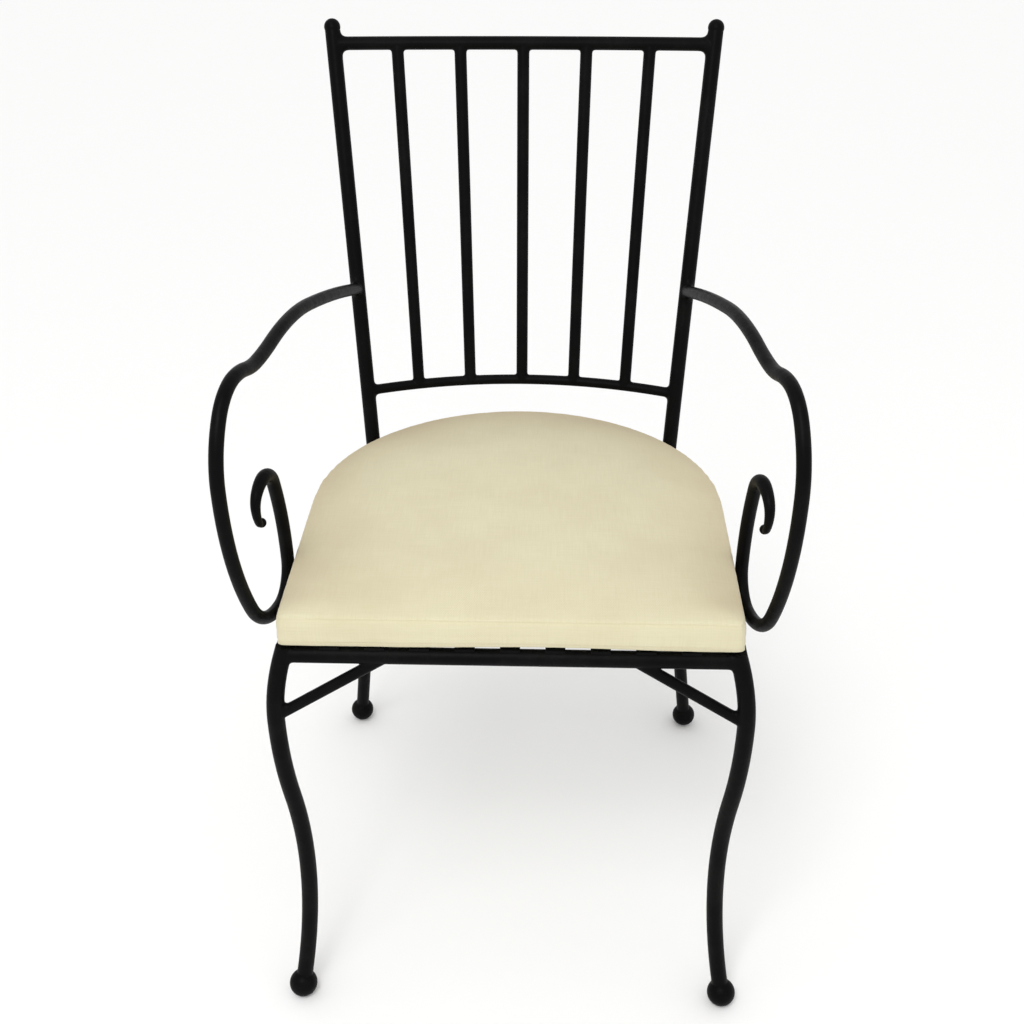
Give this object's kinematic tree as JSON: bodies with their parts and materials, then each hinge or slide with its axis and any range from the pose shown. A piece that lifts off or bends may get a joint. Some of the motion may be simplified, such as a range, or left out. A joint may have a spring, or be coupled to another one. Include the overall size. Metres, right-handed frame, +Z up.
{
  "type": "metal armchair",
  "caption": "Black wrought-metal armchair with a spindle back, scrolled round-bar arms, curved front legs on ball feet and a loose cream D-shaped seat cushion.",
  "frame": {"origin": "on the floor, midway in the chair's width and depth", "axes": "+Z up, front of the chair towards -Y, +X to the right as seen from the front"},
  "size_m": [0.494, 0.5176, 0.8964],
  "materials": {
    "black_paint": "satin black paint over forged bar",
    "cream_canvas": "plain woven cream canvas",
    "foam": "upholstery foam"
  },
  "bodies": {
    "frame": {"left_front_leg": "black_paint", "right_front_leg": "black_paint", "left_back_post": "black_paint", "right_back_post": "black_paint", "left_post_finial": "black_paint", "right_post_finial": "black_paint", "left_arm": "black_paint", "right_arm": "black_paint", "left_front_brace": "black_paint", "right_front_brace": "black_paint", "left_front_foot": "black_paint", "right_front_foot": "black_paint", "left_rear_foot": "black_paint", "right_rear_foot": "black_paint", "seat_front_bar": "black_paint", "seat_hoop": "black_paint", "top_rail": "black_paint", "lower_back_rail": "black_paint", "back_spindle_1": "black_paint", "back_spindle_2": "black_paint", "back_spindle_3": "black_paint", "back_spindle_4": "black_paint", "back_spindle_5": "black_paint", "seat_slat_1": "black_paint", "seat_slat_2": "black_paint", "seat_slat_3": "black_paint", "seat_slat_4": "black_paint", "seat_slat_5": "black_paint", "seat_slat_6": "black_paint", "seat_slat_7": "black_paint", "seat_slat_8": "black_paint", "seat_slat_9": "black_paint"},
    "cushion": {"cushion_foam": "foam", "cushion_top_panel": "cream_canvas", "cushion_side_band": "cream_canvas", "cushion_bottom_panel": "cream_canvas"}
  },
  "joints": [
    {"name": "cushion_lift", "type": "slide", "parent": "frame", "child": "cushion", "axis": [0, -0.7071, 0.7071], "range_m": [0, 0.4]}
  ]
}
